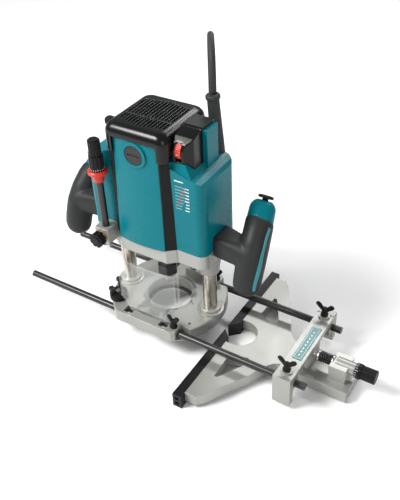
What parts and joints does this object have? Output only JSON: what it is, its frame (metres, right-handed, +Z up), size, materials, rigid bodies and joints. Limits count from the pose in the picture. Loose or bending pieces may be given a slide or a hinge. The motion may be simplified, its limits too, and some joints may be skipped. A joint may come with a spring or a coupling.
{
  "type": "plunge router",
  "caption": "Plunge router with twin grips, two-column base, clear chip guard, depth stop, and a straight guide fence on twin rods.",
  "frame": {"origin": "centre of the opening in the sole plate, on the sole's lower face", "axes": "+Z up along the spindle and columns, +X along the guide rods towards the fence, -Y towards the operator"},
  "size_m": [0.5458, 0.41, 0.424],
  "materials": {
    "cast": "die-cast, lightly grained satin",
    "sole": "moulded phenolic, matte",
    "steel": "ground and polished",
    "screw_steel": "zinc plated",
    "black_rod": "black oxide, satin",
    "clear": "clear moulded polycarbonate",
    "spring": "oiled spring wire",
    "cord_rubber": "matte rubber sheath",
    "plug_pin": "nickel-plated brass",
    "black_knob": "moulded, fine grain",
    "badge": null,
    "black_face": "moulded, slightly glossy",
    "teal": "moulded nylon, semi-gloss",
    "trim": "soft-touch elastomer",
    "black_gloss": "glossy moulded nylon",
    "dark_lid": "fine spark-eroded grain",
    "carbon": "graphite brush",
    "lamination": "stacked electrical steel",
    "copper": "enamelled copper windings",
    "grip": "soft-touch overmould",
    "red": "moulded red plastic"
  },
  "bodies": {
    "base": {"base_casting": "cast", "sole_plate": "sole", "sole_screws": "screw_steel", "columns": "steel", "chip_guard": "clear", "stop_post": "screw_steel", "turret_screw": "screw_steel", "plunge_springs": "spring", "cord": "cord_rubber", "cord_coil": "cord_rubber", "plug_body": "cord_rubber", "plug_pins": "plug_pin"},
    "turret": {"turret": "black_knob", "turret_bolts": "black_knob"},
    "front_rod_screw": {"front_rod_screw": "black_knob"},
    "rear_rod_screw": {"rear_rod_screw": "black_knob"},
    "rods": {"guide_rods": "black_rod"},
    "holder": {"guide_holder": "cast", "holder_badge": "badge"},
    "front_holder_screw": {"front_holder_screw": "black_knob"},
    "rear_holder_screw": {"rear_holder_screw": "black_knob"},
    "fence": {"fence_casting": "cast", "face_plates": "black_face", "face_screws": "screw_steel", "feed_spring": "spring"},
    "feed": {"feed_screw": "screw_steel", "feed_knob": "black_knob", "feed_ring": "black_knob"},
    "motor": {"motor_casting": "cast", "motor_housing": "teal", "front_panel": "teal", "rear_panel": "teal", "corner_trims": "trim", "top_cover": "black_gloss", "controller_lid": "dark_lid", "dial_pod": "black_gloss", "brush_caps": "black_knob", "brushes": "carbon", "stator": "lamination", "field_windings": "copper", "bearings": "steel", "strain_relief": "cord_rubber", "left_grip": "grip", "right_grip": "grip", "grip_caps": "teal"},
    "dial": {"speed_dial": "red"},
    "trigger": {"trigger": "black_knob"},
    "lock_button": {"lock_button": "black_knob"},
    "shaft_lock": {"shaft_lock": "black_knob"},
    "lock_lever": {"lock_lever": "black_knob"},
    "depth_rod": {"depth_rod": "black_rod", "depth_collar": "red"},
    "depth_tip": {"depth_tip": "screw_steel"},
    "depth_knob": {"depth_knob": "black_knob"},
    "clamp_knob": {"clamp_knob": "black_knob"},
    "spindle": {"spindle": "steel", "armature": "lamination", "fan": "black_knob", "collet_nut": "black_rod", "collet_cone": "steel"}
  },
  "joints": [
    {"name": "plunge", "type": "slide", "parent": "base", "child": "motor", "axis": [0, 0, -1], "range_m": [0, 0.062], "stiffness_N_per_m": 900, "springref_m": -0.085, "deforming": ["plunge_springs"]},
    {"name": "spindle_spin", "type": "hinge", "parent": "motor", "child": "spindle", "pos_m": [0, 0, 0], "axis": [0, 0, 1], "continuous": true},
    {"name": "trigger_pull", "type": "hinge", "parent": "motor", "child": "trigger", "pos_m": [0.137, 0.025, 0.17048], "axis": [-1, 0, 0], "range_deg": [0, 6], "stiffness_Nm_per_rad": 1.2, "springref_deg": -8.59},
    {"name": "lock_button_press", "type": "slide", "parent": "motor", "child": "lock_button", "axis": [0, -0.5736, -0.8192], "range_m": [0, 0.0025], "stiffness_N_per_m": 1500, "springref_m": -0.001},
    {"name": "dial_turn", "type": "hinge", "parent": "motor", "child": "dial", "pos_m": [0.05, -0.0235, 0.288], "axis": [1, 0, 0], "range_deg": [-150, 0]},
    {"name": "shaft_lock_press", "type": "slide", "parent": "motor", "child": "shaft_lock", "axis": [0, -1, 0], "range_m": [0, 0.004], "stiffness_N_per_m": 1200, "springref_m": -0.001},
    {"name": "plunge_lock", "type": "hinge", "parent": "motor", "child": "lock_lever", "pos_m": [-0.06, 0.04, 0.135], "axis": [0, 1, 0], "range_deg": [0, 40]},
    {"name": "depth_rod_slide", "type": "slide", "parent": "motor", "child": "depth_rod", "axis": [0, 0, 1], "range_m": [-0.068, 0]},
    {"name": "depth_fine", "type": "slide", "parent": "depth_rod", "child": "depth_tip", "axis": [0, 0, 1], "range_m": [-0.004, 0.003]},
    {"name": "depth_knob_turn", "type": "hinge", "parent": "depth_rod", "child": "depth_knob", "pos_m": [-0.0575, -0.0535, 0.25], "axis": [0, 0, 1], "range_deg": [-1500, 1300]},
    {"name": "clamp_knob_turn", "type": "hinge", "parent": "motor", "child": "clamp_knob", "pos_m": [-0.0575, -0.0635, 0.1455], "axis": [0, -1, 0], "range_deg": [-180, 0]},
    {"name": "turret_turn", "type": "hinge", "parent": "base", "child": "turret", "pos_m": [-0.0605, -0.045, 0.024], "axis": [0, 0, 1], "range_deg": [-120, 120]},
    {"name": "front_rod_screw_turn", "type": "hinge", "parent": "base", "child": "front_rod_screw", "pos_m": [0.045, -0.0585, 0.02], "axis": [0, 0, 1], "range_deg": [0, 270]},
    {"name": "rear_rod_screw_turn", "type": "hinge", "parent": "base", "child": "rear_rod_screw", "pos_m": [0.045, 0.0585, 0.02], "axis": [0, 0, 1], "range_deg": [0, 270]},
    {"name": "rods_slide", "type": "slide", "parent": "base", "child": "rods", "axis": [1, 0, 0], "range_m": [-0.06, 0.04]},
    {"name": "holder_slide", "type": "slide", "parent": "rods", "child": "holder", "axis": [1, 0, 0], "range_m": [-0.05, 0.01]},
    {"name": "front_holder_screw_turn", "type": "hinge", "parent": "holder", "child": "front_holder_screw", "pos_m": [0.2195, -0.0585, 0.028], "axis": [0, 0, 1], "range_deg": [0, 270]},
    {"name": "rear_holder_screw_turn", "type": "hinge", "parent": "holder", "child": "rear_holder_screw", "pos_m": [0.2195, 0.0585, 0.028], "axis": [0, 0, 1], "range_deg": [0, 270]},
    {"name": "fence_feed", "type": "slide", "parent": "holder", "child": "fence", "axis": [1, 0, 0], "range_m": [-0.005, 0.005]},
    {"name": "feed_knob_turn", "type": "hinge", "parent": "fence", "child": "feed", "pos_m": [0.291, 0, 0.011], "axis": [1, 0, 0], "range_deg": [-1810, 1810]}
  ],
  "couplings": [
    {"joint": "depth_knob_turn", "follows": "depth_fine", "rad_per_m": 6283.2},
    {"joint": "feed_knob_turn", "follows": "fence_feed", "rad_per_m": 6283.2}
  ]
}
